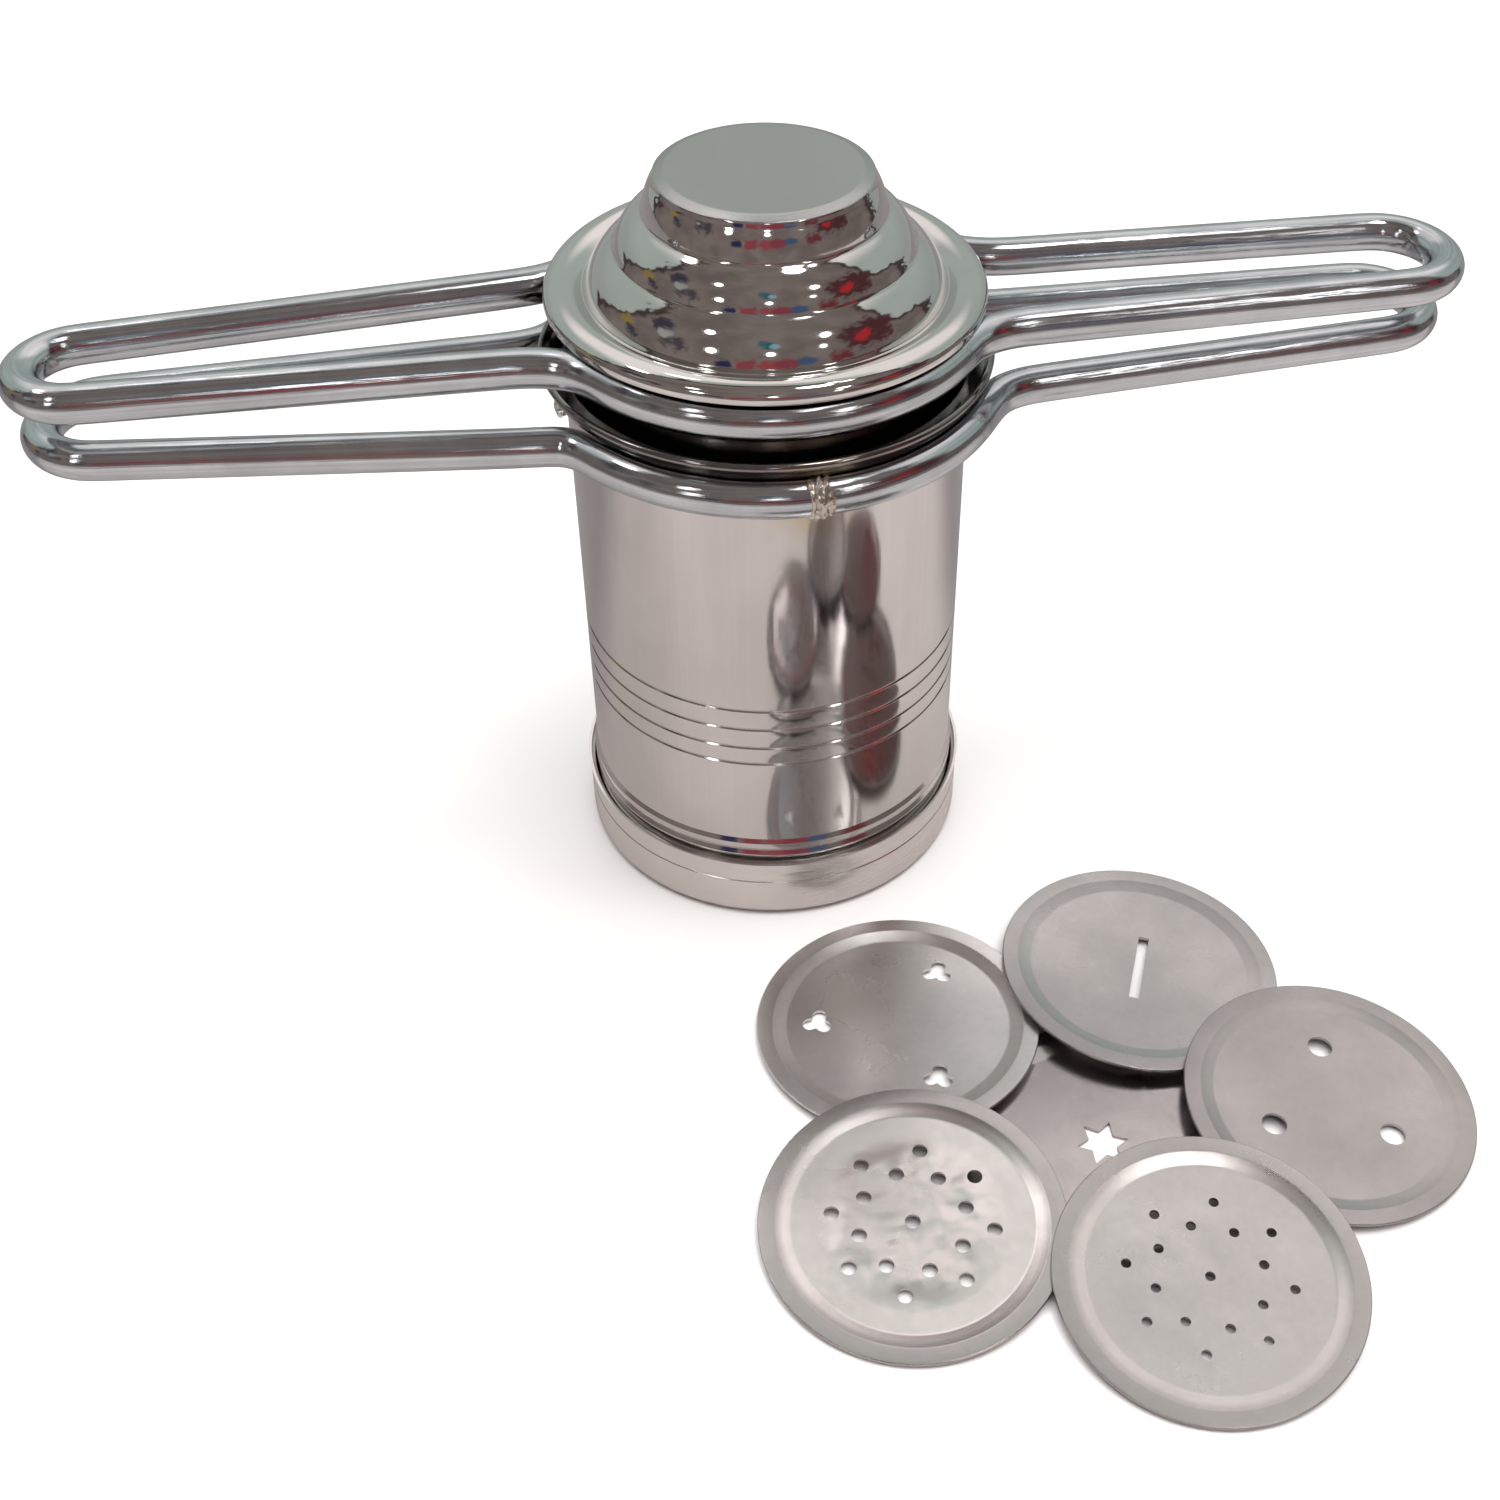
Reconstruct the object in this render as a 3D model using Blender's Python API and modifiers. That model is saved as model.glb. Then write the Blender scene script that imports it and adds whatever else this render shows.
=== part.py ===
"""Hand-operated cookie press: a plunger with a stepped dome and a rod handle, a barrel with a second
rod handle, a screw-on base cap and six loose dies laid out in front. Metres, +Z up, handles along X."""
import math

import bmesh
import bpy
from mathutils import Matrix, Vector

MM = 0.001

# Place of the press axis and of the whole set (mm).
AXIS_Y = 56.7
TURNS = 48

# Barrel, mm.
BARREL_R = 34.8
BARREL_WALL = 0.8
BARREL_FOOT_Z = 2.0
FLANGE_R = 39.0
FLANGE_LOW_Z = 101.0
FLANGE_TOP_Z = 103.8
GROOVE_Z = (49.7, 45.4, 41.1, 37.3)
GROOVE_DEPTH = 0.35
THREAD_Z = (17.1, 14.3, 11.5, 8.7, 5.9)
THREAD_HEIGHT = 0.5

# Base cap, mm.
CAP_R = 36.6
CAP_BORE_R = 35.7
CAP_TOP_Z = 13.5
CAP_MOUTH_R = 24.0
CAP_FLOOR = 1.2
CAP_GROOVE_Z = 8.9
SEAT_R = 26.6
SEAT_TOP_Z = 1.9

# Plunger, mm; creases between the tiers of the dome as (radius, height).
CREASES = ((20.2, 128.3), (25.2, 122.3), (30.5, 115.0))
TUBE_R = 31.6
TUBE_WALL = 0.8
TUBE_LOW_Z = 15.8
TUBE_TOP_Z = 113.9
PISTON_R = 33.3
PISTON_LOW_Z = 14.2
PISTON_SKIRT_Z = 21.6

# Rod handles, mm.
ROD_R = 3.3
TIP_X = 124.0
ROOT_X = 46.0
RING_JOIN_DEG = 36.0
WELD_GAP = 2.0
UPPER_Z = 109.8
UPPER_RING_R = 35.2
UPPER_WELD_DEG = 95.0
UPPER_TACK_R = 32.7
UPPER_TACK_Z = 106.4
UPPER_TACK_DEG = (-112.0, -22.0, 68.0, 158.0)
# Leg offsets from the middle line: left front, left back, right front, right back, as (root, tip).
UPPER_LEGS = ((-12.6, -12.0), (13.0, 6.6), (-13.2, -11.6), (10.8, 9.4))
LOWER_Z = 97.4
LOWER_RING_R = 38.5
LOWER_WELD_DEG = -87.0
LOWER_TACK_R = 35.95
LOWER_TACK_Z = 93.9
LOWER_TACK_DEG = (0.0, 60.0, 120.0, 180.0)
LOWER_LEGS = ((-16.6, -9.2), (14.2, 11.2), (-11.4, -6.0), (15.2, 14.2))

# Dies, mm: sheet, radii and the pressed step between the centre and the flat rim.
DIE_R = 25.6
DIE_SHEET = 0.6
DIE_WELL_R = 21.4
DIE_RIM_R = 22.3
DIE_STEP = 0.6
HOLES_INNER_R = 9.2
HOLES_OUTER_R = 13.5
COARSE_HOLE_R = 1.3
FINE_HOLE_R = 0.85
TREFOIL_R = 14.5
ROUND_R = 11.9


def clear_file():
    for old in list(bpy.data.objects):
        bpy.data.objects.remove(old, do_unlink=True)


def collection(name):
    made = bpy.data.collections.new(name)
    bpy.context.scene.collection.children.link(made)
    return made


def steel(name, grey, rough):
    made = bpy.data.materials.new(name)
    made.use_nodes = True
    made.diffuse_color = (grey, grey, grey, 1.0)
    shader = made.node_tree.nodes["Principled BSDF"]
    shader.inputs["Base Color"].default_value = (grey, grey, grey, 1.0)
    shader.inputs["Metallic"].default_value = 1.0
    shader.inputs["Roughness"].default_value = rough
    return made


def place(obj, group, material, smooth=True):
    group.objects.link(obj)
    obj.data.materials.append(material)
    if smooth and obj.type == "MESH":
        for face in obj.data.polygons:
            face.use_smooth = True
    return obj


def turned(name, profile, group, material, closed, steps=TURNS):
    """Body of revolution: profile points (radius, height) in mm, outer side from top to bottom."""
    mesh = bpy.data.meshes.new(name)
    points = [(r * MM, 0.0, z * MM) for r, z in profile]
    edges = [(i, i + 1) for i in range(len(points) - 1)]
    if closed:
        edges.append((len(points) - 1, 0))
    mesh.from_pydata(points, edges, [])
    obj = bpy.data.objects.new(name, mesh)
    screw = obj.modifiers.new("turn", "SCREW")
    screw.axis = "Z"
    screw.angle = 2.0 * math.pi
    screw.steps = steps
    screw.render_steps = steps
    screw.use_merge_vertices = True
    screw.merge_threshold = 0.00002
    screw.use_smooth_shade = True
    group.objects.link(obj)
    obj.data.materials.append(material)
    return obj


def on_axis(obj):
    obj.location = (0.0, AXIS_Y * MM, 0.0)


def barrel_profile():
    inner = BARREL_R - BARREL_WALL
    line = [
        (FLANGE_R - 0.9, FLANGE_TOP_Z),
        (FLANGE_R - 0.25, FLANGE_TOP_Z - 0.35),
        (FLANGE_R, FLANGE_TOP_Z - 1.1),
        (FLANGE_R - 0.1, FLANGE_LOW_Z + 0.7),
        (FLANGE_R - 0.8, FLANGE_LOW_Z),
        (BARREL_R + 1.6, FLANGE_LOW_Z - 0.1),
        (BARREL_R + 0.4, FLANGE_LOW_Z - 0.6),
        (BARREL_R, FLANGE_LOW_Z - 1.5),
    ]
    for z in GROOVE_Z:
        line.extend([(BARREL_R, z + 0.4), (BARREL_R - GROOVE_DEPTH, z), (BARREL_R, z - 0.4)])
    for z in THREAD_Z:
        line.extend([(BARREL_R, z + 1.3), (BARREL_R + THREAD_HEIGHT, z + 0.2), (BARREL_R + THREAD_HEIGHT, z - 0.4)])
    line.append((BARREL_R, THREAD_Z[-1] - 1.4))
    line.extend([
        (BARREL_R, BARREL_FOOT_Z),
        (inner, BARREL_FOOT_Z),
        (inner, FLANGE_LOW_Z - 1.0),
        (inner + 0.6, FLANGE_LOW_Z + 0.3),
        (inner + 2.2, FLANGE_LOW_Z + 0.9),
        (FLANGE_R - 1.6, FLANGE_LOW_Z + 1.5),
    ])
    return line


def cap_profile():
    return [
        (CAP_R + 0.3, CAP_TOP_Z),
        (CAP_R + 0.15, CAP_TOP_Z - 0.9),
        (CAP_R, CAP_GROOVE_Z + 0.4),
        (CAP_R - 0.25, CAP_GROOVE_Z),
        (CAP_R, CAP_GROOVE_Z - 0.4),
        (CAP_R, 2.2),
        (CAP_R - 0.2, 1.1),
        (CAP_R - 0.8, 0.3),
        (CAP_R - 1.8, 0.0),
        (CAP_MOUTH_R, 0.0),
        (CAP_MOUTH_R, CAP_FLOOR),
        (SEAT_R - 0.7, CAP_FLOOR),
        (SEAT_R - 0.5, SEAT_TOP_Z),
        (SEAT_R + 0.5, SEAT_TOP_Z),
        (SEAT_R + 0.7, CAP_FLOOR),
        (CAP_BORE_R - 1.1, CAP_FLOOR),
        (CAP_BORE_R, CAP_FLOOR + 1.2),
        (CAP_BORE_R, CAP_TOP_Z - 1.1),
        (CAP_BORE_R + 0.5, CAP_TOP_Z),
    ]


def bulge(top, foot, first, last, count):
    """Convex arc between two (radius, height) points; its slope runs from first to last degrees."""
    s0, s1 = math.radians(first), math.radians(last)
    across, down = math.sin(s1) - math.sin(s0), math.cos(s0) - math.cos(s1)
    out = []
    for i in range(count + 1):
        t = s0 + (s1 - s0) * i / count
        out.append((
            top[0] + (foot[0] - top[0]) * (math.sin(t) - math.sin(s0)) / across,
            top[1] + (foot[1] - top[1]) * (math.cos(s0) - math.cos(t)) / down,
        ))
    return out


def dome_profile():
    """Flat palm disc, three rounded tiers with soft creases and a brim with a rolled bead."""
    outer = [(0.0, 135.0), (16.0, 135.0), (16.9, 134.75), (17.6, 134.1), (18.1, 133.2), (19.3, 130.9)]
    outer.extend(bulge(CREASES[0], CREASES[1], 26.0, 70.0, 5))
    outer.extend(bulge(CREASES[1], CREASES[2], 30.0, 71.0, 5)[1:])
    outer.extend([(32.4, 115.75), (34.2, 116.5), (35.3, 116.75), (36.3, 116.5), (36.9, 115.9),
                  (37.2, 114.9), (37.1, 114.0), (36.7, 113.5)])
    inner = [(36.2, 113.9), (36.4, 114.8), (36.1, 115.5), (35.3, 115.9), (34.4, 115.7), (32.6, 114.95)]
    low = [(CREASES[2][0] - 0.75, CREASES[2][1] - 0.75)]
    low.extend((r - 0.75, z - 0.55) for r, z in reversed(bulge(CREASES[1], CREASES[2], 30.0, 71.0, 3)[1:-1]))
    low.append((CREASES[1][0] - 0.75, CREASES[1][1] - 0.6))
    low.extend((r - 0.75, z - 0.55) for r, z in reversed(bulge(CREASES[0], CREASES[1], 26.0, 70.0, 3)[1:-1]))
    low.append((CREASES[0][0] - 0.75, CREASES[0][1] - 0.6))
    low.extend([(18.5, 130.5), (17.4, 132.8), (16.9, 133.6), (16.4, 134.0), (15.8, 134.2), (0.0, 134.2)])
    return outer + inner + low


def piston_profile():
    inner = PISTON_R - 0.9
    return [
        (0.0, PISTON_LOW_Z + 1.2),
        (inner, PISTON_LOW_Z + 1.2),
        (inner, PISTON_SKIRT_Z),
        (PISTON_R, PISTON_SKIRT_Z),
        (PISTON_R, PISTON_LOW_Z + 0.6),
        (PISTON_R - 0.6, PISTON_LOW_Z),
        (0.0, PISTON_LOW_Z),
    ]


def tube_profile():
    return [
        (TUBE_R, TUBE_TOP_Z),
        (TUBE_R, TUBE_LOW_Z),
        (TUBE_R - TUBE_WALL, TUBE_LOW_Z),
        (TUBE_R - TUBE_WALL, TUBE_TOP_Z),
    ]


def bezier(a, b, c, d, count):
    out = []
    for i in range(1, count):
        t = i / count
        s = 1.0 - t
        out.append(a * s ** 3 + b * 3 * s * s * t + c * 3 * s * t * t + d * t ** 3)
    return out


def ring_point(radius, degrees):
    turn = math.radians(degrees)
    return Vector((radius * math.cos(turn), radius * math.sin(turn), 0.0))


def leg_side(side, radius, legs):
    """One end of a handle from the ring, out along a leg, round the tip and back to the ring.
    side +1 runs anticlockwise out on the right, side -1 on the left; legs = (first, second)."""
    (root_a, tip_a), (root_b, tip_b) = legs
    bend = abs(tip_b - tip_a) / 2.0
    centre = Vector((side * (TIP_X - ROD_R - bend), (tip_a + tip_b) / 2.0, 0.0))
    joins = (-RING_JOIN_DEG, RING_JOIN_DEG) if side > 0 else (180.0 - RING_JOIN_DEG, 180.0 + RING_JOIN_DEG)
    start = ring_point(radius, joins[0])
    end = ring_point(radius, joins[1])
    root_one = Vector((side * ROOT_X, root_a, 0.0))
    root_two = Vector((side * ROOT_X, root_b, 0.0))
    tip_one = Vector((centre.x, tip_a, 0.0))
    tip_two = Vector((centre.x, tip_b, 0.0))
    out_way = (tip_one - root_one).normalized()
    back_way = (root_two - tip_two).normalized()
    leave = Vector((-start.y, start.x, 0.0)).normalized()
    arrive = Vector((-end.y, end.x, 0.0)).normalized()
    path = [start]
    path.extend(bezier(start, start + leave * 8.0, root_one - out_way * 9.0, root_one, 7))
    path.append(root_one)
    path.append(tip_one)
    first = -90.0 if side > 0 else 90.0
    for i in range(1, 10):
        path.append(centre + ring_point(bend, first + 18.0 * i))
    path.append(tip_two)
    path.append(root_two)
    path.extend(bezier(root_two, root_two + back_way * 9.0, end - arrive * 8.0, end, 7))
    path.append(end)
    return path


def ring_arc(radius, start, stop):
    count = max(2, int(abs(stop - start) / 7.5))
    return [ring_point(radius, start + (stop - start) * i / count) for i in range(1, count)]


def handle_path(radius, legs, weld_deg):
    """Rod path that starts and ends at the butt weld on the ring."""
    left_front, left_back, right_front, right_back = legs
    half = math.degrees(WELD_GAP / 2.0 / radius)
    right = leg_side(1, radius, (right_front, right_back))
    left = leg_side(-1, radius, (left_back, left_front))
    front_join = -RING_JOIN_DEG
    back_join = RING_JOIN_DEG
    far_back = 180.0 - RING_JOIN_DEG
    far_front = RING_JOIN_DEG - 180.0
    if weld_deg < 0:
        path = [ring_point(radius, weld_deg + half)]
        path.extend(ring_arc(radius, weld_deg + half, front_join))
        path.extend(right)
        path.extend(ring_arc(radius, back_join, far_back))
        path.extend(left)
        path.extend(ring_arc(radius, far_front, weld_deg - half))
        path.append(ring_point(radius, weld_deg - half))
    else:
        path = [ring_point(radius, weld_deg + half)]
        path.extend(ring_arc(radius, weld_deg + half, far_back))
        path.extend(left)
        path.extend(ring_arc(radius, far_front, front_join))
        path.extend(right)
        path.extend(ring_arc(radius, back_join, weld_deg - half))
        path.append(ring_point(radius, weld_deg - half))
    return path


def rod(name, path, height, group, material):
    curve = bpy.data.curves.new(name, "CURVE")
    curve.dimensions = "3D"
    curve.bevel_depth = ROD_R * MM
    curve.bevel_resolution = 2
    curve.use_fill_caps = True
    spline = curve.splines.new("POLY")
    spline.points.add(len(path) - 1)
    for point, place_at in zip(spline.points, path):
        point.co = (place_at.x * MM, place_at.y * MM, 0.0, 1.0)
        point.radius = 1.0
    obj = bpy.data.objects.new(name, curve)
    obj.location = (0.0, AXIS_Y * MM, height * MM)
    group.objects.link(obj)
    obj.data.materials.append(material)
    return obj


def butt_weld(name, radius, degrees, height, group, material):
    """Bead that joins the two ends of the bent rod, centred a little outside the ring line."""
    profile = [(0.0, 0.7), (2.9, 0.7), (3.5, 0.3), (3.5, -0.3), (2.9, -0.7), (0.0, -0.7)]
    obj = turned(name, profile, group, material, False, 16)
    spot = ring_point(radius + 0.25, degrees)
    obj.location = (spot.x * MM, (spot.y + AXIS_Y) * MM, height * MM)
    obj.rotation_euler = (math.pi / 2.0, 0.0, math.radians(degrees))
    return obj


def tack_weld(name, radius, degrees, height, group, material):
    """Small fillet bead in the corner between a handle ring and the tube it grips."""
    mesh = bpy.data.meshes.new(name)
    bead = bmesh.new()
    bmesh.ops.create_uvsphere(bead, u_segments=10, v_segments=6, radius=1.0)
    bmesh.ops.scale(bead, vec=Vector((0.6 * MM, 2.6 * MM, 0.6 * MM)), verts=bead.verts)
    bead.to_mesh(mesh)
    bead.free()
    obj = place(bpy.data.objects.new(name, mesh), group, material)
    spot = ring_point(radius, degrees)
    obj.location = (spot.x * MM, (spot.y + AXIS_Y) * MM, height * MM)
    obj.rotation_euler = (0.0, 0.0, math.radians(degrees))
    return obj


def die_profile():
    rim_top = DIE_SHEET + DIE_STEP
    return [
        (0.0, DIE_SHEET),
        (DIE_WELL_R - 0.25, DIE_SHEET),
        (DIE_RIM_R - 0.25, rim_top),
        (DIE_R - 0.15, rim_top),
        (DIE_R, rim_top - 0.15),
        (DIE_R, DIE_STEP),
        (DIE_RIM_R, DIE_STEP),
        (DIE_WELL_R, 0.0),
        (0.0, 0.0),
    ]


def prism(outline):
    """Cutter through the sheet from an outline given anticlockwise, in mm."""
    mesh = bmesh.new()
    low = [mesh.verts.new((x * MM, y * MM, -2.0 * MM)) for x, y in outline]
    top = [mesh.verts.new((x * MM, y * MM, 3.0 * MM)) for x, y in outline]
    count = len(outline)
    mesh.faces.new(list(reversed(low)))
    mesh.faces.new(top)
    for i in range(count):
        j = (i + 1) % count
        mesh.faces.new((low[i], low[j], top[j], top[i]))
    return mesh


def circle_outline(x, y, radius, count):
    return [
        (x + radius * math.cos(2 * math.pi * i / count), y + radius * math.sin(2 * math.pi * i / count))
        for i in range(count)
    ]


def star_outline(outer, inner, turn):
    out = []
    for i in range(12):
        radius = outer if i % 2 == 0 else inner
        angle = math.radians(turn + 30.0 * i)
        out.append((radius * math.cos(angle), radius * math.sin(angle)))
    return out


def trefoil_outline(x, y, lobe, reach, turn):
    """Three round lobes that meet in the middle."""
    out = []
    for k in range(3):
        base = math.radians(turn + 120.0 * k)
        cx = x + reach * math.cos(base)
        cy = y + reach * math.sin(base)
        for step in (-108.0, -54.0, 0.0, 54.0, 108.0):
            angle = base + math.radians(step)
            out.append((cx + lobe * math.cos(angle), cy + lobe * math.sin(angle)))
    return out


def slot_outline(length, width, turn):
    angle = math.radians(turn)
    c, s = math.cos(angle), math.sin(angle)
    corners = ((-0.5, -0.5), (0.5, -0.5), (0.5, 0.5), (-0.5, 0.5))
    return [
        (u * length * c - v * width * s, u * length * s + v * width * c)
        for u, v in corners
    ]


def seventeen_holes(radius, turn):
    """One hole in the middle, eight on an inner ring and eight on an outer ring between them."""
    out = [circle_outline(0.0, 0.0, radius, 8)]
    for i in range(8):
        a = math.radians(turn + 45.0 * i)
        b = math.radians(turn + 22.5 + 45.0 * i)
        out.append(circle_outline(HOLES_OUTER_R * math.cos(a), HOLES_OUTER_R * math.sin(a), radius, 8))
        out.append(circle_outline(HOLES_INNER_R * math.cos(b), HOLES_INNER_R * math.sin(b), radius, 8))
    return out


def die(name, outlines, centre, height, lean_deg, lean_to_deg, group, cutters, material):
    """Pressed sheet die. It lies tilted by lean_deg, its surface rising toward lean_to_deg."""
    obj = turned(name, die_profile(), group, material, False, 40)
    holes = bpy.data.meshes.new(name + "_holes")
    joined = bmesh.new()
    for outline in outlines:
        one = prism(outline)
        scratch = bpy.data.meshes.new("scratch")
        one.to_mesh(scratch)
        one.free()
        joined.from_mesh(scratch)
        bpy.data.meshes.remove(scratch)
    joined.to_mesh(holes)
    joined.free()
    cutter = bpy.data.objects.new(name + "_holes", holes)
    cutter.hide_render = True
    cutter.display_type = "WIRE"
    cutters.objects.link(cutter)
    cut = obj.modifiers.new("holes", "BOOLEAN")
    cut.operation = "DIFFERENCE"
    cut.solver = "EXACT"
    cut.object = cutter
    lean = math.radians(lean_deg)
    toward = math.radians(lean_to_deg)
    axis = Vector((math.sin(toward), -math.cos(toward), 0.0))
    turn = Matrix.Rotation(lean, 4, axis)
    spot = Vector((centre[0] * MM, (centre[1] + AXIS_Y) * MM, height * MM))
    obj.matrix_world = Matrix.Translation(spot) @ turn
    cutter.matrix_world = obj.matrix_world
    return obj


def build():
    clear_file()
    group = collection("cookie_press")
    cutters = collection("cutters")
    polished = steel("polished_steel", 0.72, 0.12)
    satin = steel("satin_steel", 0.62, 0.32)
    weld = steel("weld_steel", 0.55, 0.4)

    on_axis(turned("dome_cap", dome_profile(), group, polished, False))
    on_axis(turned("piston_tube", tube_profile(), group, satin, True))
    on_axis(turned("piston_face", piston_profile(), group, satin, False))
    on_axis(turned("barrel", barrel_profile(), group, polished, True))
    on_axis(turned("base_cap", cap_profile(), group, satin, True))

    upper = handle_path(UPPER_RING_R, UPPER_LEGS, UPPER_WELD_DEG)
    rod("upper_handle", upper, UPPER_Z, group, polished)
    lower = handle_path(LOWER_RING_R, LOWER_LEGS, LOWER_WELD_DEG)
    rod("lower_handle", lower, LOWER_Z, group, polished)
    butt_weld("upper_handle_butt_weld", UPPER_RING_R, UPPER_WELD_DEG, UPPER_Z, group, weld)
    butt_weld("lower_handle_butt_weld", LOWER_RING_R, LOWER_WELD_DEG, LOWER_Z, group, weld)
    for number, degrees in enumerate(UPPER_TACK_DEG, 1):
        tack_weld(f"upper_tack_weld_{number}", UPPER_TACK_R, degrees, UPPER_TACK_Z, group, weld)
    for number, degrees in enumerate(LOWER_TACK_DEG, 1):
        tack_weld(f"lower_tack_weld_{number}", LOWER_TACK_R, degrees, LOWER_TACK_Z, group, weld)

    trefoils = []
    for degrees in (48.0, 168.0, -72.0):
        at = ring_point(TREFOIL_R, degrees)
        trefoils.append(trefoil_outline(at.x, at.y, 1.35, 1.5, degrees + 20.0))
    rounds = []
    for degrees in (77.0, -163.0, -43.0):
        at = ring_point(ROUND_R, degrees)
        rounds.append(circle_outline(at.x, at.y, 2.2, 14))
    die("die_star", [star_outline(4.6, 2.5, 0.0)], (41.2, -99.5), 0.0, 0.0, 0.0, group, cutters, satin)
    die("die_trefoil", trefoils, (11.8, -67.9), 0.9, 2.2, -48.0, group, cutters, satin)
    die("die_slot", [slot_outline(16.0, 1.9, 66.0)], (58.5, -63.2), 1.65, 4.1, -163.0, group, cutters, satin)
    die("die_three_hole", rounds, (82.0, -99.0), 1.75, 4.4, 149.0, group, cutters, satin)
    coarse = seventeen_holes(COARSE_HOLE_R, 73.0)
    die("die_coarse", coarse, (5.4, -110.6), 1.8, 4.5, 69.0, group, cutters, satin)
    fine = seventeen_holes(FINE_HOLE_R, 70.0)
    die("die_fine", fine, (50.1, -129.6), 2.35, 5.8, 80.0, group, cutters, satin)


build()
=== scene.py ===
import math

import bmesh
import bpy
from mathutils import Matrix, Vector, noise


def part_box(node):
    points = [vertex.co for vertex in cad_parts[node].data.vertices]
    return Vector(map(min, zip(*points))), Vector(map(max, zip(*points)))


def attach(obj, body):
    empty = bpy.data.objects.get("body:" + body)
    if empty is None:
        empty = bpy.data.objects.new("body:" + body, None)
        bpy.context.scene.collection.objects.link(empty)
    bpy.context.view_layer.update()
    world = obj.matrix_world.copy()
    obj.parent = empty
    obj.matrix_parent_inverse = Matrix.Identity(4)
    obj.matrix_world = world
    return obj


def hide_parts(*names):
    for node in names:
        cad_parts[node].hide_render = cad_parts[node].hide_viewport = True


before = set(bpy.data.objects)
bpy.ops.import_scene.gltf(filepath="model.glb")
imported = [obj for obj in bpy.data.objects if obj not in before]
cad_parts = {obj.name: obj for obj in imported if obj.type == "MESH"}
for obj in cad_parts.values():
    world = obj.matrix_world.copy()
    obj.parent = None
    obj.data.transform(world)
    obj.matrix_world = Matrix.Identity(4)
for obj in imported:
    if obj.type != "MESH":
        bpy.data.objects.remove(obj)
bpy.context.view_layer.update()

MM = 0.001
barrel_lo, barrel_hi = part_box("barrel")
AXIS = Vector(((barrel_lo[0] + barrel_hi[0]) / 2.0, (barrel_lo[1] + barrel_hi[1]) / 2.0, 0.0))
ON_AXIS = Matrix.Translation(AXIS)

# Sizes in mm. Radii (R) are measured from the press axis and heights (Z) from the floor.
BARREL_R = 34.8
BARREL_BORE_R = 34.0
BARREL_FOOT_Z = 2.0
FLANGE_LIP_R = 38.2
FLANGE_LIP_Z = 102.95
FLANGE_LOW_Z = 100.5
GROOVE_R = 34.5
GROOVE_Z = (49.7, 45.4, 41.1, 37.3)
THREAD_Z = (17.1, 14.3, 11.5, 8.7, 5.9)

CAP_R = 36.62
CAP_BORE_R = 35.7
CAP_TOP_Z = 13.5
CAP_GROOVE_R = 36.4
CAP_GROOVE_Z = 8.9
CAP_MOUTH_R = 24.0
CAP_FLOOR_Z = 1.2
CAP_SEAT_Z = 1.9

TUBE_R = 31.6
TUBE_BORE_R = 30.8
TUBE_LOW_Z = 15.8
TUBE_TOP_Z = 113.9
PISTON_R = 33.3
PISTON_CUP_R = 32.4
PISTON_LOW_Z = 14.2
PISTON_FLOOR_Z = 15.4
PISTON_TOP_Z = 21.6

DOME_TOP_Z = 135.0
DOME_WALL_TOP = (18.35, 133.5)
CREASES = ((20.2, 128.3), (25.2, 122.3), (30.5, 115.0))
BRIM_CENTRE = (34.0, 114.1)
BRIM_HALF_WIDTH = 3.2
BRIM_HALF_HEIGHT = 2.4

# Handles: a round rod bent to a ring round the press with a long loop on each side. A leg is given by its
# distance from the middle plane at its root and at its tip, in the order left front, left back, right
# front, right back.
ROD_R = 3.3
TIP_X = 124.0
ROOT_X = 46.0
JOIN_DEG = 36.0
UPPER_Z = 109.8
UPPER_RING_R = 35.2
UPPER_LEGS = ((-12.6, -12.0), (13.0, 6.6), (-13.2, -11.6), (10.8, 9.4))
UPPER_WELD_DEG = 95.0
UPPER_TACK_R = 32.6
UPPER_TACK_Z = 106.7
UPPER_TACK_DEG = (-112.0, -22.0, 68.0, 158.0)
LOWER_Z = 97.4
LOWER_RING_R = 38.5
LOWER_LEGS = ((-16.6, -9.2), (14.2, 11.2), (-11.4, -6.0), (15.2, 14.2))
LOWER_WELD_DEG = -87.0
LOWER_TACK_R = 35.9
LOWER_TACK_Z = 94.2
LOWER_TACK_DEG = (0.0, 60.0, 120.0, 180.0)

# Dies: pressed sheet with a rim that stands one step above the middle; radii from the die's own centre.
DIE_SHEET = 0.6
DIE_STEP = 1.2
DIE_R = 25.6
HOLES_INNER_R = 9.2
HOLES_OUTER_R = 13.5

# The camera's direction in degrees, and its place from the foot of the press axis in metres.
HEADING = 11.12
PITCH = 41.78
ROLL = 0.83
CAMERA_PLACE = (-0.0439, -0.2955, 0.2766)


def at(radius, degrees):
    """Point on a circle as a pair of numbers; 0 degrees is +X."""
    return radius * math.cos(math.radians(degrees)), radius * math.sin(math.radians(degrees))


def spot(radius, degrees):
    """The same point as a vector on the floor plane."""
    return Vector((*at(radius, degrees), 0.0))


def upright(height):
    """Vector that rises by a height in mm."""
    return Vector((0.0, 0.0, height * MM))


def placed(name, data):
    """New object of a mesh, lamp or camera, linked to the scene."""
    obj = bpy.data.objects.new(name, data)
    bpy.context.scene.collection.objects.link(obj)
    return obj


# ---------------------------------------------------------------- node helpers

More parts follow.
